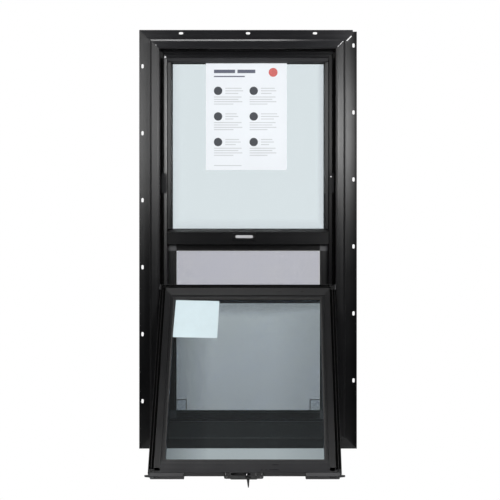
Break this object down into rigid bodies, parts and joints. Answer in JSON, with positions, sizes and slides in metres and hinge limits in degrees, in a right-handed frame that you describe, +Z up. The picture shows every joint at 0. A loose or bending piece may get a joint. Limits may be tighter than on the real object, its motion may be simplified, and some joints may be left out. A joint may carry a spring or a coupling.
{
  "type": "single hung window",
  "caption": "Black aluminium single hung window with a nail fin, fixed glass above and the lower sash tilted in and hanging in front of its insect screen",
  "frame": {"origin": "on the indoor-facing side of the bottom nail fin, at mid width of the window and mid height of that fin", "axes": "+X runs along the window to the right as seen from indoors, +Y points outdoors, +Z is up"},
  "size_m": [0.66, 0.3919, 1.3133],
  "materials": {
    "black_coat": "satin black powder coat on extruded aluminium",
    "bright_steel": "bright plated steel",
    "mill_aluminium": "plain drawn aluminium tube",
    "spacer_metal": "satin spacer bar of the insulating glass",
    "window_glass": "clear float glass with a pale green cast",
    "black_rubber": "black glazing gasket",
    "black_plastic": "moulded black nylon",
    "grey_plastic": "moulded grey corner keys",
    "clear_tab": "clear soft plastic pull tab",
    "black_pile": "short black pile on a woven backing",
    "grey_mesh": "charcoal coated fibre screen cloth",
    "white_paper": "white paper sheet",
    "pale_label": "pale coated sticker, blank"
  },
  "bodies": {
    "root": {"frame_head": "black_coat", "frame_sill": "black_coat", "frame_jamb_left": "black_coat", "frame_jamb_right": "black_coat", "meeting_rail": "black_coat", "lock_keeper": "black_coat", "keeper_strike": "bright_steel", "upper_pane_inner": "window_glass", "upper_pane_outer": "window_glass", "upper_glass_spacer": "spacer_metal", "upper_glazing_tape": "black_rubber", "upper_bead_head": "black_coat", "upper_bead_rail": "black_coat", "upper_bead_left": "black_coat", "upper_bead_right": "black_coat", "glass_sheet": "white_paper", "sash_stile_left": "black_coat", "sash_stile_right": "black_coat", "sash_bottom_rail": "black_coat", "sash_top_rail": "black_coat", "sash_pane_inner": "window_glass", "sash_pane_outer": "window_glass", "sash_glass_spacer": "spacer_metal", "sash_gasket": "black_rubber", "sash_glazing_beads": "black_coat", "sash_label": "pale_label", "sash_lock_housing": "black_coat", "sash_lock_cam": "bright_steel", "sash_lock_lever": "black_coat", "tilt_latch_left": "black_plastic", "tilt_latch_right": "black_plastic", "latch_bolts": "black_plastic", "pivot_bars": "bright_steel", "balance_shoes": "black_plastic", "balance_tubes": "mill_aluminium", "balance_rods": "bright_steel", "jamb_stops": "black_plastic", "jamb_weatherstrips": "black_pile", "screen_bar_top": "black_coat", "screen_bar_bottom": "black_coat", "screen_bar_left": "black_coat", "screen_bar_right": "black_coat", "screen_corner_keys": "grey_plastic", "screen_mesh": "grey_mesh", "screen_lift_tabs": "clear_tab"}
  },
  "joints": []
}
